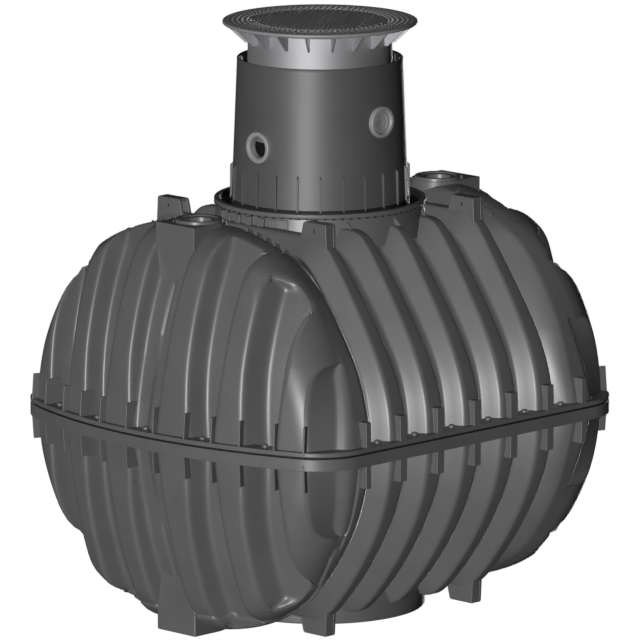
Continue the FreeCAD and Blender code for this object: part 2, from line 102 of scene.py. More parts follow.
# Points along the outlines, and rows of the wall, the notch's roof and the shoulder
SIDE_POINTS, CORNER_POINTS, END_POINTS = 60, 160, 200
RIB_POINTS, FLOOR_POINTS, HALF_FLOOR_POINTS = (16, 8, 8), 12, 5
WALL_ROWS, ROOF_ROWS, UPPER_ROWS, SHOULDER_ROWS = 16, 9, 8, 30
ARCH_POINTS, TOP_POINTS, RIDGE_POINTS, STATION_STEPS = 60, 15, 8, 7

# Least runs that keep the points of an outline in order, and the share of a crest that a fillet takes
LEAST_RUN, LEAST_CREST, LEAST_VALLEY, LEAST_NOTCH, EDGE_SHARE = 0.5, 1.0, 4.0, 0.1, 0.45

# Neck, dome, shaft and cover
COLLAR_R, COLLAR_WALL_R, SEAT_R, LEDGE_R = 465.0, 456.0, 389.5, 359.0
DOME_FOOT, DOME_TOP = 880.0, 1531.0
DOME_BOTTOM_R, DOME_TOP_R, DOME_WALL = 389.0, 363.0, 12.0
SHAFT_R, SHAFT_WALL, SHAFT_FOOT = 316.5, 12.0, 1180.0
FRAME_R, LID_R = 426.5, 298.0
WEST_OUTLET, SOUTH_OUTLET = 1173.0, 1284.0
PORT_X, PORT_HALF, PORT_FRONT = 745.0, 118.0, 893.0


def reach(level, foot, head, top, radius, inset):
    """Distance from the middle of the tank to an arc from foot to head, at a level."""
    lean = foot - head
    chord = math.hypot(lean, top)
    sink = math.sqrt(radius ** 2 - (chord / 2) ** 2)
    centre = (foot + head) / 2 - sink * top / chord
    below = sink * lean / chord - top / 2
    return centre + np.sqrt((radius - inset) ** 2 - (level + below) ** 2)


def side_reach(level, inset=0.0):
    return reach(level, HALF_WIDTH, SIDE_HEAD, BARREL_TOP, SIDE_ARC, inset)


def end_reach(level, inset=0.0):
    return reach(level, HALF_LENGTH, END_HEAD, END_TOP, END_ARC, inset)


def drawn_in(level, radius):
    """How far a rounded shoulder of the ends has drawn in at a level."""
    rise = min(radius, max(0.0, level - END_TOP + radius))
    return radius - math.sqrt(radius ** 2 - rise ** 2)


def smooth_max(a, b, blend):
    share = np.clip(0.5 + 0.5 * (a - b) / blend, 0.0, 1.0)
    return b * (1 - share) + a * share + blend * share * (1 - share)


def smooth_step(share):
    share = min(1.0, max(0.0, share))
    return share * share * (3 - 2 * share)


def toward(corner, other, size):
    """Point on the way from a corner, by a size that leaves room for the next corner."""
    step = other - corner
    length = np.linalg.norm(step)
    if length < 1e-6:
        return corner
    return corner + step * min(CORNER_SHARE, size / length)


def bend(before, corner, after, size, steps=BEND_STEPS):
    """Rounded corner between two neighbours."""
    first, last = toward(corner, before, size), toward(corner, after, size)
    t = np.linspace(0.0, 1.0, steps)[:, None]
    return (1 - t) ** 2 * first + 2 * t * (1 - t) * corner + t ** 2 * last


def rounded(points, size, steps=BEND_STEPS):
    """Closed outline with every corner rounded."""
    points = [np.array(p, float) for p in points]
    count = len(points)
    bends = [bend(points[i - 1], points[i], points[(i + 1) % count], size, steps) for i in range(count)]
    return np.vstack(bends)


# Mesh makers

def link(obj):
    bpy.context.scene.collection.objects.link(obj)
    return obj


def place(obj, body, slot, nodes=()):
    """Gives a finished piece its body, its finish and the nodes that it stands for."""
    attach(obj, body)
    obj.data.materials.append(MATERIALS[slot])
    if nodes:
        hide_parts(*nodes)
    return obj


def paint_shade(obj, chosen):
    """Gives the chosen faces of a piece the dark finish of the seals, as painted shade."""
    obj.data.materials.append(MATERIALS["seal"])
    for face in obj.data.polygons:
        if chosen(face):
            face.material_index = 1


def mesh_object(name, points, faces, sharp=SHARP):
    """Smooth-shaded object from millimetre points about the joint plane."""
    points = np.asarray(points, float) / METRE
    points[:, 2] += JOINT / METRE
    mesh = bpy.data.meshes.new(name)
    mesh.from_pydata(points.tolist(), [], faces)
    shape = bmesh.new()
    shape.from_mesh(mesh)
    bmesh.ops.remove_doubles(shape, verts=shape.verts, dist=MERGE)
    bmesh.ops.dissolve_degenerate(shape, edges=shape.edges, dist=MERGE)
    bmesh.ops.recalc_face_normals(shape, faces=shape.faces)
    shape.edges.index_update()
    rim = [edge.index for edge in shape.edges if edge.is_boundary]
    shape.to_mesh(mesh)
    shape.free()
    mesh.shade_smooth()
    mesh.set_sharp_from_angle(angle=math.radians(sharp))
    for index in rim:
        mesh.edges[index].use_edge_sharp = True
    return link(bpy.data.objects.new(name, mesh))


def grid_faces(rows, columns, closed_rows=False, closed_columns=False, start=0):
    faces = []
    for i in range(rows if closed_rows else rows - 1):
        for j in range(columns if closed_columns else columns - 1):
            a, b = i * columns + j, i * columns + (j + 1) % columns
            k = ((i + 1) % rows) * columns
            faces.append((start + a, start + b, start + k + (j + 1) % columns, start + k + j))
    return faces


class Parts:
    """Gathers many small closed forms into one mesh."""

    def __init__(self):
        self.points = []
        self.faces = []

    def add(self, points, faces):
        start = len(self.points)
        self.points.extend(np.asarray(points, float).tolist())
        self.faces.extend([tuple(start + i for i in face) for face in faces])

    def prism(self, outline, origin, across, up, along, depth):
        """Outline in the plane of two axes, run along a third."""
        outline = np.asarray(outline, float)
        origin, across, up, along = (np.array(v, float) for v in (origin, across, up, along))
        low = origin + outline[:, :1] * across + outline[:, 1:] * up
        high = low + along * depth
        count = len(outline)
        faces = [tuple(range(count))[::-1], tuple(range(count, 2 * count))]
        faces += [(i, (i + 1) % count, count + (i + 1) % count, count + i) for i in range(count)]
        self.add(np.vstack([low, high]), faces)

    def lathe(self, profile, steps, origin=(0, 0, 0), axis=(0, 0, 1), start=(1, 0, 0)):
        """Closed profile of radius and height, turned about an axis."""
        profile = np.asarray(profile, float)
        axis, start = np.array(axis, float), np.array(start, float)
        side = np.cross(axis, start)
        rings = []
        for angle in np.linspace(0, 2 * math.pi, steps, endpoint=False):
            out = start * math.cos(angle) + side * math.sin(angle)
            rings.append(np.array(origin) + profile[:, :1] * out + profile[:, 1:] * axis)
        self.add(np.vstack(rings), grid_faces(steps, len(profile), True, True))

    def flip(self, axis):
        """Adds a mirrored copy of all forms so far."""
        points = np.array(self.points)
        points[:, axis] *= -1
        self.add(points, [face[::-1] for face in self.faces])

    def turned(self, count, offset=0.0):
        """Repeats the forms so far about the upright axis."""
        points, faces = np.array(self.points), list(self.faces)
        self.points, self.faces = [], []
        for index in range(count):
            a = 2 * math.pi * (index + offset) / count
            turn = np.array([[math.cos(a), math.sin(a), 0], [-math.sin(a), math.cos(a), 0], [0, 0, 1]])
            self.add(points @ turn, faces)

    def turn_over(self):
        """Turns all forms so far upside down, about the joint plane."""
        self.points = (np.array(self.points) * (1, 1, -1)).tolist()

    def make(self, name, bevel=0.0, sharp=SHARP):
        obj = mesh_object(name, self.points, self.faces, sharp)
        if bevel:
            soften(obj, bevel)
        return obj


def radial(outline, thick, count, offset=0.0):
    """Flat forms of radius and level, repeated about the upright axis."""
    parts = Parts()
    parts.prism(outline, (0, -thick / 2, 0), EAST, UP, NORTH, thick)
    parts.turned(count, offset)
    return parts


def soften(obj, width):
    bevel = obj.modifiers.new("bevel", "BEVEL")
    bevel.width = width / METRE
    bevel.segments = 2
    bevel.limit_method = "ANGLE"
    bevel.angle_limit = math.radians(BEVEL_SHARP)
    bevel.harden_normals = True


def thicken(obj):
    shell = obj.modifiers.new("wall", "SOLIDIFY")
    shell.thickness = SHELL_THICK / METRE
    shell.offset = -1


# Materials

CLOUD_SCALE, CLOUD_RANGE = 5.0, (0.35, 0.65)
GLOSS_SPREAD, GRAIN_HEIGHT = 0.03, 0.001
GREEN_SHARE, BLUE_SHARE = 0.985, 1.02


def plastic(name, dark, light, rough, grain, speck, sheen=0.0, shine=0.5):
    """Moulded plastic: slow tone changes, uneven gloss, a fine grain and, if wanted, a silvery sheen."""
    mat = bpy.data.materials.new(name)
    mat.use_nodes = True
    tree = mat.node_tree
    shader = tree.nodes["Principled BSDF"]
    shader.inputs["Metallic"].default_value = sheen
    shader.inputs["Specular IOR Level"].default_value = shine
    place_in = tree.nodes.new("ShaderNodeTexCoord")
    clouds = tree.nodes.new("ShaderNodeTexNoise")
    clouds.inputs["Scale"].default_value = CLOUD_SCALE
    clouds.inputs["Detail"].default_value = 4.0
    tone = tree.nodes.new("ShaderNodeValToRGB")
    for stop, position, colour in zip(tone.color_ramp.elements, CLOUD_RANGE, (dark, light)):
        stop.position = position
        stop.color = colour
    gloss = tree.nodes.new("ShaderNodeMapRange")
    gloss.inputs["To Min"].default_value = rough - GLOSS_SPREAD
    gloss.inputs["To Max"].default_value = rough + GLOSS_SPREAD
    fine = tree.nodes.new("ShaderNodeTexNoise")
    fine.inputs["Scale"].default_value = speck
    fine.inputs["Detail"].default_value = 3.0
    bump = tree.nodes.new("ShaderNodeBump")
    bump.inputs["Strength"].default_value = grain
    bump.inputs["Distance"].default_value = GRAIN_HEIGHT
    links = tree.links
    links.new(place_in.outputs["Object"], clouds.inputs["Vector"])
    links.new(place_in.outputs["Object"], fine.inputs["Vector"])
    links.new(clouds.outputs["Fac"], tone.inputs["Fac"])
    links.new(tone.outputs["Color"], shader.inputs["Base Color"])
    links.new(clouds.outputs["Fac"], gloss.inputs["Value"])
    links.new(gloss.outputs["Result"], shader.inputs["Roughness"])
    links.new(fine.outputs["Fac"], bump.inputs["Height"])
    links.new(bump.outputs["Normal"], shader.inputs["Normal"])
    return mat


def grey(value):
    """Grey with a faint violet cast."""
    return (value, value * GREEN_SHARE, value * BLUE_SHARE, 1.0)


MATERIALS = {
    "shell": plastic("shell_plastic", grey(0.090), grey(0.100), 0.40, 0.06, 420.0),
    "dome": plastic("dome_plastic", grey(0.062), grey(0.070), 0.48, 0.05, 420.0),
    "shaft": plastic("shaft_plastic", grey(0.34), grey(0.37), 0.65, 0.04, 380.0, sheen=0.84),
    "cover": plastic("cover_plastic", grey(0.19), grey(0.21), 0.50, 0.12, 520.0),
    "outlet": plastic("outlet_plastic", grey(0.21), grey(0.23), 0.45, 0.04, 380.0),
    # Dark rubber of the seals, also used as painted shade in holes, slots and hollows
    "seal": plastic("seal_rubber_and_shade", grey(0.012), grey(0.016), 0.65, 0.10, 300.0, shine=0.12),
}
# The two seals keep their own shapes, and every other node has a piece that stands for it
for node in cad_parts.values():
    node.data.materials.clear()
    node.data.materials.append(MATERIALS["seal"])


# Ends of the half shells

class Outline:
    """South half of the end's plan at a level, from the barrel round to the middle of the end."""

    def __init__(self, level, grow=0.0, east=EAST_EDGE):
        length = end_reach(level) - drawn_in(level, END_SHOULDER) + grow
        width = side_reach(level) - drawn_in(level, SIDE_SHOULDER) + grow
        radius = min(PLAN_CORNER, CORNER_LIMIT * width) + grow
        bulge = BULGE + grow
        side_y = width - radius
        focus = bulge - length
        corner_x = focus - math.sqrt((bulge - radius) ** 2 - side_y ** 2)
        turn = math.atan2(side_y, focus - corner_x)
        sides = np.linspace(0.0, min(corner_x, east - 1.0), SIDE_POINTS)
        sides = np.column_stack([sides[sides > corner_x], np.full((sides > corner_x).sum(), width)])
        a = np.linspace(math.pi / 2, turn, CORNER_POINTS)
        corner = np.column_stack([corner_x - radius * np.cos(a), side_y + radius * np.sin(a)])
        b = np.linspace(turn, 0.0, END_POINTS)[1:]
        end = np.column_stack([focus - bulge * np.cos(b), bulge * np.sin(b)])
        path = np.vstack([sides, corner, end])
        first = np.searchsorted(-path[:, 0], -east)
        before, after = path[first - 1], path[first]
        share = (east - before[0]) / (after[0] - before[0])
        path = np.vstack([before + share * (after - before), path[first:]])
        path[:, 1] *= -1
        self.path = path
        self.run = np.concatenate([[0.0], np.cumsum(np.linalg.norm(np.diff(path, axis=0), axis=1))])
        self.start_y = -path[0, 1]

    def at(self, run):
        run = np.asarray(run, float)
        return np.stack([np.interp(run, self.run, self.path[:, axis]) for axis in (0, 1)], -1)

    def run_at_y(self, y):
        return float(np.interp(y, self.path[:, 1], self.run))

    def run_at_x(self, x):
        return float(np.interp(-x, -self.path[:, 0], self.run))

    def x(self, y):
        return np.interp(y, self.path[:, 1], self.path[:, 0])

    def between(self, first, last, count):
        return self.at(np.linspace(first, last, count))


def valley_half(middle, level):
    return float(np.interp(level, VALLEY_LEVELS, VALLEY_HALVES[middle]))


def end_profile(level):
    """Plan line of the western end at a level: corner rib, notch, and ribs with their valleys."""
    line = Outline(level)
    floor_length = float(end_reach(level, VALLEY_DEPTH))

    def surface_x(y, share):
        floor = FLOOR_BULGE - floor_length - np.sqrt(FLOOR_BULGE ** 2 - y ** 2)
        body = line.x(y)
        fade = np.clip((EAST_EDGE - FLOOR_MARGIN - body) / VALLEY_FADE, 0.0, 1.0)
        return body + (smooth_max(body, floor, FLOOR_BLEND) - body) * fade * share

    def fillet_on(run, after, size=FILLET, flip=False):
        neighbour = line.at(run + 2 * size if flip else run - 2 * size)
        corner = line.at(run)
        return bend(after, corner, neighbour, size) if flip else bend(neighbour, corner, after, size)

    def surface_point(y, share):
        return np.array([float(surface_x(y, share)), y])

    def valley_side(edge, inward, share):
        """Crest edge, floor edge and fillet size of one valley wall."""
        crest = np.array([float(line.x(edge)), edge])
        depth = max(0.0, float(surface_x(edge, share)) - crest[0])
        foot = surface_point(edge + inward * VALLEY_DRAFT * depth / VALLEY_DEPTH, share)
        return crest, foot, FILLET * min(1.0, depth / FILLET_DEPTH) + LEAST_FILLET

    def floor_line(first, last, count, share):
        runs = np.linspace(line.run_at_y(first), line.run_at_y(last), count + 2)[1:-1]
        ys = line.at(runs)[:, 1]
        return np.column_stack([surface_x(ys, share), ys])

    rows = []
    rib_run = min(line.run_at_x(NOTCH_TILT * level - NOTCH_X), CORNER_RIB * line.run[-1])
    rib = line.at(rib_run)
    roof = min(1.0, max(0.0, (level - NOTCH_ROOF) / NOTCH_ROUND))
    depth = math.sqrt(1 - roof ** 2)
    wall_y = rib[1] + max(LEAST_NOTCH, (NOTCH_LEAN * level - NOTCH_Y - rib[1]) * depth)
    exit_run = max(line.run_at_y(wall_y), rib_run + LEAST_RUN)
    inner = rib + np.array(NOTCH_STEP) * (1 - NOTCH_SHRINK * level) * depth
    rows.append(line.between(0.0, max(rib_run - NOTCH_FILLET * depth, LEAST_RUN), 5))
    rows.append(fillet_on(rib_run, inner, NOTCH_FILLET * depth + LEAST_FILLET))
    rows.append(bend(rib, inner, line.at(exit_run), NOTCH_ROOT * depth + LEAST_FILLET))
    rows.append(np.linspace(inner, line.at(exit_run), 5)[2:4])
    rows.append(fillet_on(exit_run, inner, NOTCH_EDGE * depth + LEAST_FILLET, True))
    last_run = exit_run + NOTCH_EDGE * depth + 2 * LEAST_FILLET
    for middle, count in zip((OUTER_VALLEY, INNER_VALLEY, 0.0), RIB_POINTS):
        half = valley_half(middle, level)
        crest_run = max(line.run_at_y(-middle - half), last_run + LEAST_CREST)
        north_run = max(line.run_at_y(half - middle), crest_run + LEAST_VALLEY)
        south_y, north_y = (float(line.at(run)[1]) for run in (crest_run, north_run))
        share = smooth_step((north_y - south_y - VALLEY_LEAST) / VALLEY_NARROW)
        crest, foot, size = valley_side(south_y, 1, share)
        edge = min(size, EDGE_SHARE * (crest_run - last_run))
        rows.append(line.between(last_run, crest_run - edge, count))
        rows.append(fillet_on(crest_run, foot, edge))
        rows.append(np.linspace(crest, foot, 4)[1:3])
        rows.append(bend(crest, foot, surface_point(foot[1] + 2 * size, share), size))
        if middle == 0.0:
            rows.append(floor_line(foot[1] + size, 0.0, HALF_FLOOR_POINTS, share))
            break
        crest, north_foot, north_size = valley_side(north_y, -1, share)
        rows.append(floor_line(foot[1] + size, north_foot[1] - north_size, FLOOR_POINTS, share))
        inside = surface_point(north_foot[1] - 2 * north_size, share)
        rows.append(bend(inside, north_foot, crest, north_size))
        rows.append(np.linspace(north_foot, crest, 4)[1:3])
        rows.append(fillet_on(north_run, north_foot, north_size, True))
        last_run = north_run + north_size
    south_half = np.vstack(rows)
    north_half = south_half[::-1] * (1, -1)
    return np.vstack([south_half, surface_point(0.0, 1.0)[None], north_half])


def end_levels():
    """Levels of the end's rows: the wall, the roof of the notch and the shoulder."""
    quarter = math.pi / 2
    shoulder = END_TOP - SIDE_SHOULDER
    levels = list(np.linspace(SHELL_FOOT, NOTCH_ROOF, WALL_ROWS, endpoint=False))
    levels += [NOTCH_ROOF + NOTCH_ROUND * math.sin(a) for a in np.linspace(0, quarter, ROOF_ROWS)]
    levels += list(np.linspace(levels[-1], shoulder, UPPER_ROWS)[1:-1])
    return levels + [shoulder + SIDE_SHOULDER * math.sin(a) for a in np.linspace(0, quarter, SHOULDER_ROWS)]


def end_grid():
    rows = []
    for level in end_levels():
        plan = end_profile(level)
        rows.append(np.column_stack([plan, np.full(len(plan), level)]))
    last = rows[-1].copy()
    last[:, 0] = EAST_EDGE
    rows.append(last)
    return sunk(np.array(rows), RIDGE_SINK)


def sunk(points, depth):
    """Rounds the upper part of an end over, toward the ridge where it meets the barrel."""
    points = points.copy()
    near = np.clip((points[..., 0] - EAST_EDGE + RIDGE_RUN) / RIDGE_RUN, 0.0, 1.0) ** 2
    high = np.clip((points[..., 2] - RIDGE_LOW) / (RIDGE_HIGH - RIDGE_LOW), 0.0, 1.0)
    drop = np.clip((points[..., 2] - END_TOP + SIDE_SHOULDER) / SIDE_SHOULDER, 0.0, 1.0)
    sink = depth * near * high
    points[..., 1] -= np.sign(points[..., 1]) * np.minimum(np.abs(points[..., 1]), sink)
    points[..., 2] -= sink * drop
    return points


def barrel_arch(inset, swell):
    """South half of an arch across the barrel, spaced out like the ridges of the ends."""
    def side_y(level):
        turn = math.pi * level / BARREL_TOP
        return -side_reach(level, inset) - swell[0] * np.sin(turn) - swell[1] * np.sin(2 * turn)

    top = BARREL_TOP - inset
    corner = np.array([float(side_y(top)), top])
    before = np.array([float(side_y(top - TOP_RUN)), top - TOP_RUN])
    turn = bend(before, corner, np.array([corner[0] + TOP_RUN, top]), TOP_ROUND, TOP_POINTS)
    levels = np.linspace(SHELL_FOOT, turn[0, 1], ARCH_POINTS)[:-1]
    side = np.column_stack([side_y(levels), levels])
    return spaced_like(np.vstack([side, turn, [(0.0, top)]]), RIDGE)


def spaced_like(points, pattern):
    """Points along a line, spaced out in the way of another line's points."""
    def shares(path):
        run = np.concatenate([[0.0], np.cumsum(np.linalg.norm(np.diff(path, axis=0), axis=1))])
        return run / run[-1]

    at = shares(points)
    wanted = shares(pattern)
    return np.column_stack([np.interp(wanted, at, points[:, axis]) for axis in (0, 1)])


def ridge(x, inset):
    """South half of the arch in which the end's body meets a station of the barrel."""
    points = [(x, -Outline(level, 0.0, x).start_y, level) for level in end_levels()]
    flat = np.linspace(points[-1], (x, 0.0, points[-1][2]), RIDGE_POINTS)[1:]
    return sunk(np.vstack([points, flat]), inset)[:, 1:]


RIDGE = ridge(EAST_EDGE, 0.0)


def barrel_stations():
    """Stations along the barrel: place, depth below the crest, lean, and share of the end's own arch."""
    keys = [(EAST_EDGE, RIDGE_SINK, 0.0, 1.0)]
    keys.append((RIDGE_CREST, RIDGE_CREST_SINK, 0.0, 1.0))
    keys.append((-BARREL_HALF, RIB_DEPTH, RIB_TAPER, 0.0))
    crest, foot = RIB_CREST / 2, RIB_CREST / 2 + RIB_FLANK
    for step in RIB_STEPS:
        middle = step * RIB_PITCH
        keys.append((middle - foot, RIB_DEPTH, RIB_TAPER, 0.0))
        keys.append((middle - crest, 0.0, RIB_TAPER, 0.0))
        keys.append((middle + crest, 0.0, -RIB_TAPER, 0.0))
        keys.append((middle + foot, RIB_DEPTH, -RIB_TAPER, 0.0))
    keys += [(-x, depth, -lean, share) for x, depth, lean, share in keys[2::-1]]
    keys = [np.array(key) for key in keys]
    stations = [keys[0][None]]
    for before, corner, after in zip(keys, keys[1:], keys[2:]):
        size = ROOT_FILLET if corner[1] else CREST_FILLET
        stations.append(bend(before, corner, after, size, STATION_STEPS))
        stations.append(((corner + after) / 2)[None])
    stations.append(keys[-1][None])
    return np.vstack(stations)


def barrel_grid(swell):
    rows = []
    for x, depth, lean, share in barrel_stations():
        arch = barrel_arch(depth, swell)
        if share:
            arch = arch * (1 - share) + ridge(-abs(x), depth) * share
        arch = np.vstack([arch, arch[-2::-1] * (-1, 1)])
        rows.append(np.column_stack([x + lean * arch[:, 1], arch]))
    return np.array(rows)


def shell_piece(name, grid, east, lower, nodes, hole=(0.0, 0.0), low=0.0):
    """Wall of a half shell, with a round hole of a place along the tank and a radius, above a level."""
    grid = grid.copy()
    if east:
        grid[:, :, 0] *= -1
    if lower:
        grid[:, :, 2] *= -1
    rows, columns = grid.shape[:2]
    points = grid.reshape(-1, 3)
    faces = grid_faces(rows, columns)
    centres = points[np.array(faces)].mean(axis=1)
    away = np.hypot(np.abs(centres[:, 0]) - hole[0], centres[:, 1]) > hole[1]
    faces = [face for face, kept in zip(faces, away | (np.abs(centres[:, 2]) < low)) if kept]
    obj = mesh_object(name, points, faces, SHELL_SHARP)
    outward(obj)
    thicken(obj)
    return place(obj, "tank", "shell", nodes)


def outward(obj):
    """Turns the faces of an open shell away from the middle of the tank."""
    mesh = obj.data
    middle = Vector((0, 0, JOINT / METRE))
    if sum((p.center - middle).dot(p.normal) * p.area for p in mesh.polygons) < 0:
        mesh.flip_normals()


PORT_HOLE, PORT_HOLE_LOW = (PORT_X, PORT_HALF), 860.0
NECK_HOLE, NECK_HOLE_LOW = (0.0, 415.0), 600.0

ends = end_grid()
shell_piece("west_end_upper", ends, False, False, ["upper_west_end"], PORT_HOLE, PORT_HOLE_LOW)
shell_piece("east_end_upper", ends, True, False, ["upper_east_end"], PORT_HOLE, PORT_HOLE_LOW)
shell_piece("west_end_lower", ends, False, True, ["lower_west_end"])
shell_piece("east_end_lower", ends, True, True, ["lower_east_end"])
upper_barrel = ["upper_barrel_south", "upper_barrel_north", "upper_crown"]
lower_barrel = ["lower_barrel_south", "lower_barrel_north", "bottom_panel"]
shell_piece("barrel_upper", barrel_grid(UPPER_SWELL), False, False, upper_barrel, NECK_HOLE, NECK_HOLE_LOW)
shell_piece("barrel_lower", barrel_grid(LOWER_SWELL), False, True, lower_barrel)


# Flanges

FLANGE_IN, FLANGE_OUT, FLANGE_POINTS = -60.0, 27.7, 90
JOINT_HALF, UPPER_FLANGE, LOWER_FLANGE = 4.0, 20.0, 22.0
SKIRT_IN, SKIRT_DROP = 18.0, 53.0
UPPER_ROUND, LOWER_ROUND = 4.0, 3.0


def flange_loop(grow):
    """Whole outline of the flange, clockwise from the middle of the south side."""
    line = Outline(0.0, grow, -1.0)
    south = line.between(0.0, line.run[-1], FLANGE_POINTS)
    west = np.vstack([south, south[-2::-1] * (1, -1)])
    return np.vstack([west, (west * (-1, 1))[::-1]])


def flange(name, section):
    """Ring of a section of outward offset and level, swept round the tank."""
    loops = []
    for out, level in section:
        loop = flange_loop(out)
        loops.append(np.column_stack([loop, np.full(len(loop), level)]))
    rings = np.array(loops)
    faces = grid_faces(len(section), rings.shape[1], True, True)
    obj = mesh_object(name, rings.reshape(-1, 3), faces, FLANGE_SHARP)
    return place(obj, "tank", "shell")


def upper_section():
    top = JOINT_HALF + UPPER_FLANGE
    corners = [(FLANGE_IN, JOINT_HALF), (FLANGE_OUT, JOINT_HALF), (FLANGE_OUT, top), (FLANGE_IN, top)]
    return rounded(corners, UPPER_ROUND, 3)


def lower_section():
    """Lower flange with the skirt at its edge."""
    under, skirt = -JOINT_HALF - LOWER_FLANGE, -JOINT_HALF - SKIRT_DROP
    corners = [(FLANGE_IN, -JOINT_HALF), (FLANGE_OUT, -JOINT_HALF), (FLANGE_OUT, skirt)]
    corners += [(SKIRT_IN, skirt), (SKIRT_IN, under), (FLANGE_IN, under)]
    return rounded(corners, LOWER_ROUND, 3)


flange("flange_upper", upper_section())
flange("flange_lower", lower_section())


# Pads and webs at the feet of the ribs, and flange bolts

FOOT_IN, FOOT_BEVEL = -50.0, 2.5
UPPER_FEET, LOWER_FEET = (10.0, 134.0), (30.0, 156.0)
PAD_OUT, PAD_HEAD, PAD_WIDE = 26.0, 24.0, 43.0
CORNER_PAD_X, CORNER_PAD_WIDE = 675.0, 30.0
WEB_FOOT, WEB_HEAD, WEB_THICK, WEB_INSET = 27.5, 19.0, 9.0, 5.0
LAST_CREST = 833.0
BOLT_HEAD = [(NEAR_AXIS, 20), (15, 20), (15, 33), (9, 38), (NEAR_AXIS, 38)]
BOLT_STEPS = (-2.5, -1.5, -0.5, 0.5, 1.5, 2.5)
BOLT_INSET, END_BOLT_INSET, OUTER_BOLT, BOLT_SIDES = 22.0, 20.0, 640.0, 20


def end_rib_edges():
    """Crest edges of the end ribs at the flange, from the middle outwards."""
    edges = []
    for middle in (0.0, INNER_VALLEY, OUTER_VALLEY):
        half = VALLEY_HALVES[middle][0]
        edges += [middle - half, middle + half]
    return edges[1:] + [LAST_CREST]


def crest_frame(y):
    """Point on the end's crest line and its outward direction."""
    turn = math.asin(y / BULGE)
    point = np.array([BULGE * (1 - math.cos(turn)) - HALF_LENGTH, y, 0.0])
    return point, np.array([-math.cos(turn), math.sin(turn), 0.0])


def foot_form(parts, point, out, wide, profile):
    """Upright form at the foot of a rib, of a profile of outward offset and level."""
    across = np.array([-out[1], out[0], 0.0])
    parts.prism(profile, point - across * wide / 2, out, UP, across, wide)


def rib_feet(low, high):
    """Pads at the feet of the barrel ribs, and two thin webs at the foot of each end rib."""
    parts = Parts()
    web = [(FOOT_IN, low), (WEB_FOOT, low), (WEB_HEAD, high), (FOOT_IN, high)]
    pad = [(FOOT_IN, low), (PAD_OUT, low), (PAD_HEAD, high), (FOOT_IN, high)]
    for index, edge in enumerate(end_rib_edges()):
        inside = edge + (WEB_INSET if index % 2 == 0 else -WEB_INSET)
        for side in (-1, 1):
            point, out = crest_frame(side * inside)
            foot_form(parts, point, out, WEB_THICK, web)
    parts.flip(0)
    for side in (-1, 1):
        out = np.array([0.0, side, 0.0])
        for step in RIB_STEPS:
            foot_form(parts, np.array([step * RIB_PITCH, side * HALF_WIDTH, 0.0]), out, PAD_WIDE, pad)
        for end in (-1, 1):
            corner = np.array([end * CORNER_PAD_X, side * HALF_WIDTH, 0.0])
            foot_form(parts, corner, out, CORNER_PAD_WIDE, pad)
    return parts


def flange_bolts():
    """Bolt heads in the valleys of the barrel and of the ends."""
    side_y = HALF_WIDTH - BOLT_INSET
    spots = [(step * RIB_PITCH, side * side_y) for step in BOLT_STEPS for side in (-1, 1)]
    for y in (0.0, INNER_VALLEY, -INNER_VALLEY, OUTER_BOLT, -OUTER_BOLT):
        point, out = crest_frame(y)
        spot = point - out * END_BOLT_INSET
        spots += [(spot[0], spot[1]), (-spot[0], spot[1])]
    parts = Parts()
    for x, y in spots:
        parts.lathe(rounded(BOLT_HEAD, 2, 3), BOLT_SIDES, (x, y, 0))
    return parts


place(rib_feet(*UPPER_FEET).make("rib_feet_upper", FOOT_BEVEL), "tank", "shell")
lower_feet = rib_feet(*LOWER_FEET)
lower_feet.turn_over()
place(lower_feet.make("rib_feet_lower", FOOT_BEVEL), "tank", "shell")
place(flange_bolts().make("flange_bolts", sharp=BOLT_SHARP), "tank", "shell")


# Lugs, and the feet that mirror them

LUG_X, LUG_NEAR, LUG_FAR, LUG_WIDE, LUG_PLATE = 460.0, 381.0, 517.0, 61.0, 15.0
LUG_LOW, LUG_SIDE_TOP, LUG_WEB_TOP, LUG_TOP = BARREL_TOP - RIB_DEPTH, 906.0, 900.0, 910.0
LUG_HEEL, LUG_TOE, LUG_CAP, LUG_WEB = 38.0, 8.0, 14.0, 30.0
CAP_INSET, WEB_SIDE_INSET, LUG_BEVEL = 2.0, 3.0, 3.0
# Place, size and proud of the dark prisms that paint the shade of the lugs' eyes
EYE_Y, EYE_LEVEL, EYE_WIDE, EYE_HIGH, EYE_PROUD = 449.0, 876.0, 3.0, 8.0, 0.8


def lug_forms(parts, x, side):
    """Channel-shaped lug: two plates, a closed outer side and a top."""
    west = x - LUG_WIDE / 2

    def along(outline, inset, wide):
        parts.prism(outline, (west + inset, 0, 0), (0, side, 0), UP, EAST, wide)

    plate = [(LUG_NEAR - LUG_HEEL, LUG_LOW), (LUG_NEAR, LUG_SIDE_TOP)]
    plate += [(LUG_FAR, LUG_SIDE_TOP), (LUG_FAR + LUG_TOE, LUG_LOW)]
    along(plate, 0.0, LUG_PLATE)
    along(plate, LUG_WIDE - LUG_PLATE, LUG_PLATE)
    cap_low = LUG_TOP - LUG_CAP
    cap = [(LUG_NEAR + 1, cap_low), (LUG_NEAR + 3, LUG_TOP), (LUG_FAR - 2, LUG_TOP), (LUG_FAR, cap_low)]
    along(cap, CAP_INSET, LUG_WIDE - 2 * CAP_INSET)
    web = [(LUG_FAR - LUG_WEB, LUG_LOW), (LUG_FAR - LUG_WEB, LUG_WEB_TOP)]
    web += [(LUG_FAR - 1, LUG_WEB_TOP), (LUG_FAR + 6, LUG_LOW)]
    along(web, WEB_SIDE_INSET, LUG_WIDE - 2 * WEB_SIDE_INSET)


def eye_shade_forms(parts, x, side):
    """Dark prism through both plates, painted shade where a lug's narrow eye is."""
    corners = [(-EYE_WIDE, -EYE_HIGH), (EYE_WIDE, -EYE_HIGH), (EYE_WIDE, EYE_HIGH), (-EYE_WIDE, EYE_HIGH)]
    start = (x - LUG_WIDE / 2 - EYE_PROUD, side * EYE_Y, EYE_LEVEL)
    parts.prism(rounded(corners, 2, 3), start, NORTH, UP, EAST, LUG_WIDE + 2 * EYE_PROUD)


def at_four_lugs(form):
    parts = Parts()
    for side in (-1, 1):
        for end in (-1, 1):
            form(parts, end * LUG_X, side)
    return parts


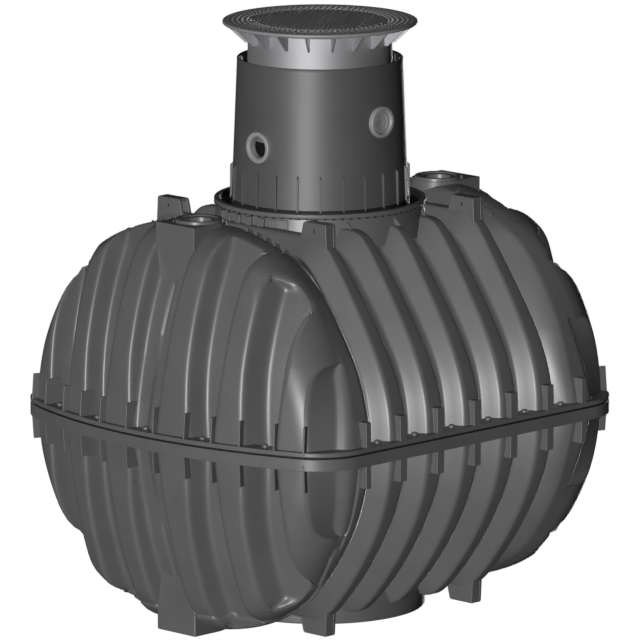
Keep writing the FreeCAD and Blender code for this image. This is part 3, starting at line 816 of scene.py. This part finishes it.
place(at_four_lugs(lug_forms).make("lugs", LUG_BEVEL), "tank", "shell", ["lifting_lugs"])
# The eyes are dark prisms in the seal finish: painted shade of the holes
place(at_four_lugs(eye_shade_forms).make("lug_eye_shade"), "tank", "seal")
feet = at_four_lugs(lug_forms)
feet.turn_over()
place(feet.make("feet", LUG_BEVEL), "tank", "shell", ["support_feet"])


# Port blocks on the ends, the feet that mirror them, and the inlet sockets

BLOCK_LOW, BLOCK_TOP, FOOT_TOP, BLOCK_BEVEL = 420.0, 899.0, 909.5, 8.0
PORT_BORES = [(112.0, 882.0), (50.0, 780.0)]
SOCKET_LINE = [(56, 800), (98, 800), (103, 884), (103, 910), (84, 910), (80, 903), (56, 903)]
SOCKET_SIDES, FRONT_POINTS, BLOCK_SIDE_POINTS, BACK_POINTS = 72, 13, 9, 33


def block_outline():
    """Plan of an end block: a flat front, straight sides and a round back."""
    front = [(-PORT_FRONT, y) for y in np.linspace(PORT_HALF, -PORT_HALF, FRONT_POINTS)]
    south = [(x, -PORT_HALF) for x in np.linspace(-PORT_FRONT, -PORT_X, BLOCK_SIDE_POINTS)[1:-1]]
    angles = np.linspace(0, math.pi, BACK_POINTS)
    back = [(-PORT_X + PORT_HALF * math.sin(a), -PORT_HALF * math.cos(a)) for a in angles]
    return np.array(front + south + back + [(x, -y) for x, y in south[::-1]])


def end_blocks(high, bores):
    """Upright blocks on both ends, with stepped bores of radius and floor level from the top down."""
    outline = block_outline()
    centre = np.array([-PORT_X, 0.0])
    out = (outline - centre) / np.linalg.norm(outline - centre, axis=1)[:, None]
    loops = [(outline, BLOCK_LOW), (outline, high)]
    level = high
    for radius, floor in bores:
        loops += [(centre + out * radius, level), (centre + out * radius, floor)]
        level = floor
    count = len(outline)
    points = np.vstack([np.column_stack([loop, np.full(count, at)]) for loop, at in loops])
    faces = grid_faces(len(loops), count, False, True)
    faces += [tuple(range(count)), tuple(range(len(points) - count, len(points)))]
    parts = Parts()
    parts.add(points, faces)
    parts.flip(0)
    return parts


def port_sockets():
    parts = Parts()
    parts.lathe(rounded(SOCKET_LINE, 3, 4), SOCKET_SIDES, (-PORT_X, 0, 0))
    parts.flip(0)
    return parts


place(end_blocks(BLOCK_TOP, PORT_BORES).make("port_blocks", BLOCK_BEVEL), "tank", "shell")
foot_blocks = end_blocks(FOOT_TOP, [])
foot_blocks.turn_over()
place(foot_blocks.make("end_feet", BLOCK_BEVEL), "tank", "shell")
place(port_sockets().make("port_sockets"), "tank", "shell", ["west_port_socket", "east_port_socket"])


# Neck collar, base ring and the small webs on the crown

COLLAR_LINE = [
    (LEDGE_R, 760), (COLLAR_WALL_R + 12, 760), (COLLAR_WALL_R, 886), (COLLAR_R - 1, 892), (COLLAR_R, 894),
    (COLLAR_R, 908), (COLLAR_R - 2, 910), (COLLAR_R - 24, 910), (COLLAR_R - 26, 884), (SEAT_R + 3, 884),
    (SEAT_R + 3, 905), (SEAT_R, 905), (SEAT_R, DOME_FOOT), (LEDGE_R, DOME_FOOT),
]
# Radius inside which the collar is painted dark as shade, and the sides of the collar and of the base ring
COLLAR_SHADE_R, COLLAR_SIDES, BASE_SIDES = COLLAR_R - 23, 180, 144
BLOCK_LINE, BLOCK_WIDE = [(445, 790), (478, 790), (470, 882), (445, 885)], 32.0
FIRST_BLOCK, BLOCK_STEP, BLOCK_COUNT = -112.0, 8.3, 5
PLATE_LINE, PLATE_WIDE = [(445, 842), (468, 842), (464, 881), (445, 881)], 54.0
PLATE_AZIMUTHS = (-71.0, -66.2)
# Outline, inner radius, depth and count of the dark prisms that paint the shade of the slots
SLOT_LINE, SLOT_IN, SLOT_DEEP, SLOT_COUNT = [(-6, 886), (6, 886), (6, 892), (-6, 892)], 452.0, 13.2, 76
BASE_LINE = [(403, -760), (465, -760), (465, -910), (403, -910)]
GUSSET_LINE, GUSSET_THICK = [(-20, 840), (-20, 884), (4, 884), (52, 840)], 10.0
GUSSET_R, GUSSET_LIMIT = 446.0, 440.0
RIDGE_WEB_LINE, RIDGE_WEB_THICK = [(-676, -30), (-660, 15), (-630, 0), (-618, -50)], 9.0
RIDGE_WEBS = (215.0, 270.0, 325.0, 380.0, 435.0)


def collar():
    """Neck ring with its rim; the faces inside the rim get the dark seal finish, painted shade of the gap
    round the dome.
    """
    parts = Parts()
    parts.lathe(rounded(COLLAR_LINE, 1.0, 2), COLLAR_SIDES)
    piece = place(parts.make("collar_ring", sharp=COLLAR_SHARP), "tank", "shell", ["neck_collar"])
    paint_shade(piece, lambda face: face.center.xy.length < COLLAR_SHADE_R / METRE)


def about_neck(parts, outline, azimuth, depth):
    """Form on the collar at an azimuth: an outline of radius and level, run along the wall."""
    angle = math.radians(azimuth)
    out = np.array([math.sin(angle), -math.cos(angle), 0.0])
    across = np.array([-out[1], out[0], 0.0])
    parts.prism(outline, -depth / 2 * across, out, UP, across, depth)


def collar_blocks():
    """Row of blocks and two plates on the collar's wall, on both ends of the neck."""
    parts = Parts()
    for index in range(BLOCK_COUNT):
        about_neck(parts, BLOCK_LINE, FIRST_BLOCK + BLOCK_STEP * index, BLOCK_WIDE)
    for azimuth in PLATE_AZIMUTHS:
        about_neck(parts, PLATE_LINE, azimuth, PLATE_WIDE)
    parts.turned(2)
    return parts


def collar_slot_shade():
    """Row of dark prisms under the rim of the collar: painted shade where the slots' hollows are."""
    parts = Parts()
    parts.prism(rounded(SLOT_LINE, 1.5, 3), (SLOT_IN, 0, 0), NORTH, UP, EAST, SLOT_DEEP)
    parts.turned(SLOT_COUNT)
    return parts


def base_ring():
    parts = Parts()
    parts.lathe(rounded(BASE_LINE, 8, 4), BASE_SIDES)
    return parts


def rib_gussets():
    """Gussets between the collar and the crests of the barrel ribs."""
    parts = Parts()
    for step in RIB_STEPS:
        x = step * RIB_PITCH
        if abs(x) >= GUSSET_LIMIT:
            continue
        start = math.sqrt(GUSSET_R ** 2 - x ** 2)
        web = [(start + out, level) for out, level in GUSSET_LINE]
        for side in (-1, 1):
            parts.prism(web, (x - GUSSET_THICK / 2, 0, 0), (0, side, 0), UP, EAST, GUSSET_THICK)
    return parts


def ridge_webs():
    """Small webs behind the ridges, where the ends meet the barrel."""
    arch = ridge(EAST_EDGE, RIDGE_SINK)
    parts = Parts()
    for y in RIDGE_WEBS:
        top = float(np.interp(-y, arch[:, 0], arch[:, 1]))
        web = [(x, top + rise) for x, rise in RIDGE_WEB_LINE]
        parts.prism(web, (0, -y, 0), EAST, UP, NORTH, RIDGE_WEB_THICK)
    parts.flip(1)
    parts.flip(0)
    return parts


collar()
place(collar_blocks().make("collar_blocks", bevel=2.0), "tank", "shell")
# Dark prisms in the seal finish under the rim: painted shade of the slots
place(collar_slot_shade().make("collar_slot_shade"), "tank", "seal")
place(base_ring().make("base_ring_body"), "tank", "shell", ["base_ring"])
place(rib_gussets().make("rib_gussets", bevel=2.0), "tank", "shell")
place(ridge_webs().make("ridge_webs", bevel=1.5), "tank", "shell")


# Access dome with its outlets

OUTLETS = ((WEST_OUTLET, (-1, 0, 0)), (SOUTH_OUTLET, (0, -1, 0)))
OUTLET_R, OUTLET_PLAY = 47.0, 0.5
BORE_R, BORE_START, BORE_END = OUTLET_R + OUTLET_PLAY, 200.0, 500.0
BORE_LINE = [(NEAR_AXIS, BORE_START), (BORE_R, BORE_START), (BORE_R, BORE_END), (NEAR_AXIS, BORE_END)]
RIM_HIGH, DOME_SHARP, DOME_ROWS, DOME_SIDES = 26.0, 40.0, 24, 160
FIN_LOW, FIN_SHOULDER, FIN_TOP, FIN_THICK, FIN_COUNT = 905.0, 1052.0, 1068.0, 8.0, 24
FIN_OUT, FIN_HEAD, FIN_IN = 7.0, 6.0, 5.0
SEAL_LOW, SEAL_HIGH, SEAL_HEAD, SEAL_IN, SEAL_OUT = 890.0, 911.0, 914.0, 3.0, 3.5
KEY_LINE = [(345, 1490), (352, 1490), (352, 1524), (345, 1520)]
KEY_THICK, KEY_COUNT, KEY_OFFSET = 10.0, 24, 0.25
RING_OUT, RING_R, RING_SIDES = 16.0, 69.5, 72
PLUG_OUT, PLUG_R, PLUG_SIDES = 6.0, OUTLET_R - OUTLET_PLAY, 64


def dome_r(level):
    return DOME_BOTTOM_R + (DOME_TOP_R - DOME_BOTTOM_R) * (level - DOME_FOOT) / (DOME_TOP - DOME_FOOT)


def outlet_frame(out):
    """Direction of an outlet, and a direction across it."""
    out = np.array(out, float)
    return out, np.cross(UP, out)


def dome_line():
    """Profile of the dome: tapered wall outside, rolled rim, and wall inside."""
    levels = np.linspace(DOME_FOOT, DOME_TOP - RIM_HIGH, DOME_ROWS)
    line = [(dome_r(level), level) for level in levels]
    line += [(DOME_TOP_R + 1, DOME_TOP - 24), (DOME_TOP_R + 1, DOME_TOP - 4), (DOME_TOP_R - 2, DOME_TOP)]
    line += [(DOME_TOP_R - 9, DOME_TOP), (DOME_TOP_R - DOME_WALL, DOME_TOP - 4)]
    return line + [(dome_r(level) - DOME_WALL, level) for level in levels[::-1]]


def bore(obj):
    """Cuts the outlets' holes through a piece."""
    bores = Parts()
    for level, out in OUTLETS:
        direction, start = outlet_frame(out)
        bores.lathe(BORE_LINE, PLUG_SIDES, (0, 0, level), direction, start)
    cutter = bores.make("bore_tool")
    cut = obj.modifiers.new("bores", "BOOLEAN")
    cut.operation = "DIFFERENCE"
    cut.object = cutter
    cut.solver = "EXACT"
    evaluated = obj.evaluated_get(bpy.context.evaluated_depsgraph_get())
    bored = bpy.data.meshes.new_from_object(evaluated)
    obj.modifiers.clear()
    obj.data = bored
    bpy.data.objects.remove(cutter)


def dome():
    """Tapered dome with bored outlets; its inner faces get the dark seal finish as painted shade."""
    parts = Parts()
    parts.lathe(dome_line(), DOME_SIDES)
    piece = parts.make("dome_wall")
    bore(piece)
    piece.data.shade_smooth()
    piece.data.set_sharp_from_angle(angle=math.radians(DOME_SHARP))
    piece.data.materials.clear()
    place(piece, "tank", "dome", ["access_dome"])
    # Inner faces painted dark: painted shade seen through the outlets
    paint_shade(piece, lambda face: face.center.xy.dot(face.normal.xy) < 0)


def dome_fins():
    foot, head = dome_r(FIN_LOW), dome_r(FIN_TOP)
    line = [(foot - FIN_IN, FIN_LOW), (foot + FIN_OUT, FIN_LOW)]
    line += [(foot + FIN_HEAD, FIN_SHOULDER), (head - FIN_IN, FIN_TOP)]
    return radial(line, FIN_THICK, FIN_COUNT)


def dome_seal():
    """Thin rubber lip at the foot of the dome."""
    inner, outer = dome_r(FIN_LOW) - SEAL_IN, dome_r(FIN_LOW) + SEAL_OUT
    line = [(inner, SEAL_LOW), (outer, SEAL_LOW), (outer, SEAL_HIGH), (inner, SEAL_HEAD)]
    parts = Parts()
    parts.lathe(rounded(line, 1.5, 3), DOME_SIDES)
    return parts


def outlet_ring(level, out):
    direction, start = outlet_frame(out)
    far = dome_r(level) + RING_OUT
    line = [(OUTLET_R, far - 40), (62, far - 40), (RING_R, far - 22), (RING_R, far - 4)]
    line += [(65, far), (53, far), (OUTLET_R, far - 8)]
    parts = Parts()
    parts.lathe(rounded(line, 2.5, 4), RING_SIDES, (0, 0, level), direction, start)
    return parts


def outlet_plug(level, out):
    """Disc that blanks an outlet, with a raised edge."""
    direction, start = outlet_frame(out)
    far = dome_r(level) + PLUG_OUT
    line = [(NEAR_AXIS, far - 12), (PLUG_R, far - 12), (PLUG_R, far)]
    line += [(36, far), (33, far - 3), (NEAR_AXIS, far - 3)]
    parts = Parts()
    parts.lathe(rounded(line, 1.5, 3), PLUG_SIDES, (0, 0, level), direction, start)
    return parts


dome()
place(dome_fins().make("dome_fins", bevel=1.5), "tank", "dome")
place(dome_seal().make("dome_seal"), "tank", "seal")
rim_keys = radial(KEY_LINE, KEY_THICK, KEY_COUNT, KEY_OFFSET)
place(rim_keys.make("rim_keys", bevel=1.0), "tank", "dome")
place(outlet_ring(*OUTLETS[0]).make("west_outlet"), "tank", "outlet", ["west_outlet_ring"])
place(outlet_ring(*OUTLETS[1]).make("south_outlet"), "tank", "outlet", ["south_outlet_ring"])
place(outlet_plug(*OUTLETS[1]).make("south_plug"), "tank", "outlet", ["south_outlet_plug"])


# Shaft, cover frame and lid

SHAFT_TOP, SHAFT_SIDES, FRAME_SIDES, LID_SIDES = 1664.0, 144, 180, 120
FRAME_LINE = [
    (287.5, 1661), (SHAFT_R + 24, 1661), (FRAME_R - 5, 1678), (FRAME_R, 1682), (FRAME_R, 1691),
    (FRAME_R - 6, 1694), (303.5, 1692), (303.5, 1677), (287.5, 1677),
]
PROP_LINE = [(SHAFT_R - 4, 1668), (412, 1676), (SHAFT_R + 14, 1600), (SHAFT_R - 4, 1600)]
PROP_THICK, PROP_COUNT = 9.0, 20
STUD_ROWS, STUD_PITCH, STUD_LEVEL, STUD_RISE = (318.0, 340.0, 362.0, 384.0, 406.0), 26.0, 1690.0, 4.5
STUD_LINE = [(-7, -5), (7, -5), (7, 5), (-7, 5)]
LID_LOW, LID_FACE = 1677.5, 1691.0
BAR_LINE, BAR_LEVEL, BAR_REACH = [(-4.5, 0), (4.5, 0), (3.0, 4), (-3.0, 4)], 1690.5, 288.0
BAR_PITCH, BAR_COUNT, BAR_TURN = 17.5, 16, math.radians(36.3)


def shaft_tube():
    inner = SHAFT_R - SHAFT_WALL
    line = [(inner, SHAFT_FOOT), (SHAFT_R, SHAFT_FOOT), (SHAFT_R, SHAFT_TOP), (inner, SHAFT_TOP)]
    parts = Parts()
    parts.lathe(rounded(line, 2, 3), SHAFT_SIDES)
    return parts


def frame_ring():
    parts = Parts()
    parts.lathe(rounded(FRAME_LINE, 2, 3), FRAME_SIDES)
    return parts


def frame_studs():
    """Rings of small raised bars on the frame, every other ring set half a step on."""
    parts = Parts()
    for row, radius in enumerate(STUD_ROWS):
        count = int(radius * 2 * math.pi / STUD_PITCH)
        for index in range(count):
            angle = 2 * math.pi * (index + 0.5 * (row % 2)) / count
            out = np.array([math.cos(angle), math.sin(angle), 0])
            across = np.array([-out[1], out[0], 0])
            parts.prism(STUD_LINE, out * radius + (0, 0, STUD_LEVEL), across, out, UP, STUD_RISE)
    return parts


def lid_plate():
    """Round lid with raised bars across it."""
    line = [(NEAR_AXIS, LID_LOW), (LID_R, LID_LOW), (LID_R, LID_FACE), (NEAR_AXIS, LID_FACE)]
    parts = Parts()
    parts.lathe(rounded(line, 2, 3), LID_SIDES)
    along = np.array([math.cos(BAR_TURN), math.sin(BAR_TURN), 0])
    across = np.array([-along[1], along[0], 0])
    for index in range(-BAR_COUNT, BAR_COUNT + 1):
        offset = index * BAR_PITCH
        half = math.sqrt(BAR_REACH ** 2 - offset ** 2)
        start = across * offset - along * half + (0, 0, BAR_LEVEL)
        parts.prism(BAR_LINE, start, across, UP, along, 2 * half)
    return parts


place(shaft_tube().make("shaft_tube"), "shaft", "shaft", ["telescopic_shaft"])
place(frame_ring().make("frame_ring"), "shaft", "cover", ["cover_frame"])
frame_props = radial(PROP_LINE, PROP_THICK, PROP_COUNT)
place(frame_props.make("frame_props", bevel=1.5), "shaft", "shaft", ["cover_gussets"])
place(frame_studs().make("frame_studs", bevel=1.2), "shaft", "cover")
place(lid_plate().make("lid_plate", bevel=1.0), "lid", "cover", ["lid"])


# Floor, light and camera

AZIMUTH, ELEVATION = math.radians(-45.4), math.radians(11.06)
AIM = Vector((0.0, 0.0, 1.266))
DISTANCE, FRAME_WIDTH, SENSOR, VIEW_END = 40.0, 2.8134, 36.0, 200.0
FLOOR_HALF, FLOOR_TONE, AMBIENT = 60.0, (0.2, 0.2, 0.2, 1), 0.03


def toward_camera(azimuth, elevation):
    flat = math.cos(elevation)
    return Vector((math.sin(azimuth) * flat, -math.cos(azimuth) * flat, math.sin(elevation)))


def add_camera():
    camera = link(bpy.data.objects.new("camera", bpy.data.cameras.new("camera")))
    camera.data.sensor_width = SENSOR
    camera.data.lens = SENSOR * DISTANCE / FRAME_WIDTH
    camera.data.clip_end = VIEW_END
    direction = toward_camera(AZIMUTH, ELEVATION)
    camera.location = AIM + direction * DISTANCE
    camera.rotation_euler = direction.to_track_quat("Z", "Y").to_euler()
    bpy.context.scene.camera = camera


def floor_finish():
    """Pale floor that is plain white to the camera."""
    mat = bpy.data.materials.new("floor_white")
    mat.use_nodes = True
    tree = mat.node_tree
    shader = tree.nodes["Principled BSDF"]
    shader.inputs["Base Color"].default_value = FLOOR_TONE
    shader.inputs["Roughness"].default_value = 0.9
    glow = tree.nodes.new("ShaderNodeEmission")
    glow.inputs["Strength"].default_value = 1.0
    path = tree.nodes.new("ShaderNodeLightPath")
    mix = tree.nodes.new("ShaderNodeMixShader")
    tree.links.new(path.outputs["Is Camera Ray"], mix.inputs["Fac"])
    tree.links.new(shader.outputs["BSDF"], mix.inputs[1])
    tree.links.new(glow.outputs["Emission"], mix.inputs[2])
    tree.links.new(mix.outputs["Shader"], tree.nodes["Material Output"].inputs["Surface"])
    return mat


def pale_floor():
    mesh = bpy.data.meshes.new("floor")
    corners = [(x * FLOOR_HALF, y * FLOOR_HALF, 0) for x, y in ((-1, -1), (1, -1), (1, 1), (-1, 1))]
    mesh.from_pydata(corners, [], [(0, 1, 2, 3)])
    mesh.materials.append(floor_finish())
    link(bpy.data.objects.new("floor", mesh))


def white_world():
    """Low even light on the object, and a white background to the camera."""
    world = bpy.data.worlds.new("studio")
    bpy.context.scene.world = world
    world.use_nodes = True
    tree = world.node_tree
    back = tree.nodes["Background"]
    back.inputs["Color"].default_value = (1, 1, 1, 1)
    path = tree.nodes.new("ShaderNodeLightPath")
    level = tree.nodes.new("ShaderNodeMapRange")
    level.inputs["To Min"].default_value = AMBIENT
    level.inputs["To Max"].default_value = 1.0
    tree.links.new(path.outputs["Is Camera Ray"], level.inputs["Value"])
    tree.links.new(level.outputs["Result"], back.inputs["Strength"])


def sun(name, azimuth, elevation, energy, size, shadow):
    """Soft lamp from a direction, of an angular size."""
    lamp = link(bpy.data.objects.new(name, bpy.data.lights.new(name, "SUN")))
    lamp.data.use_shadow = shadow
    lamp.data.energy = energy
    lamp.data.angle = math.radians(size)
    direction = toward_camera(math.radians(azimuth), math.radians(elevation))
    lamp.rotation_euler = direction.to_track_quat("Z", "Y").to_euler()


add_camera()
pale_floor()
white_world()
# Lamps: azimuth, elevation, strength, angular size, and whether they cast shadows
sun("key", -64.0, 1.5, 3.5, 6.0, False)
sun("top", -60.0, 70.0, 0.4, 40.0, True)
sun("back", 128.0, -12.0, 2.4, 20.0, False)
bpy.context.scene.view_settings.view_transform = "Standard"
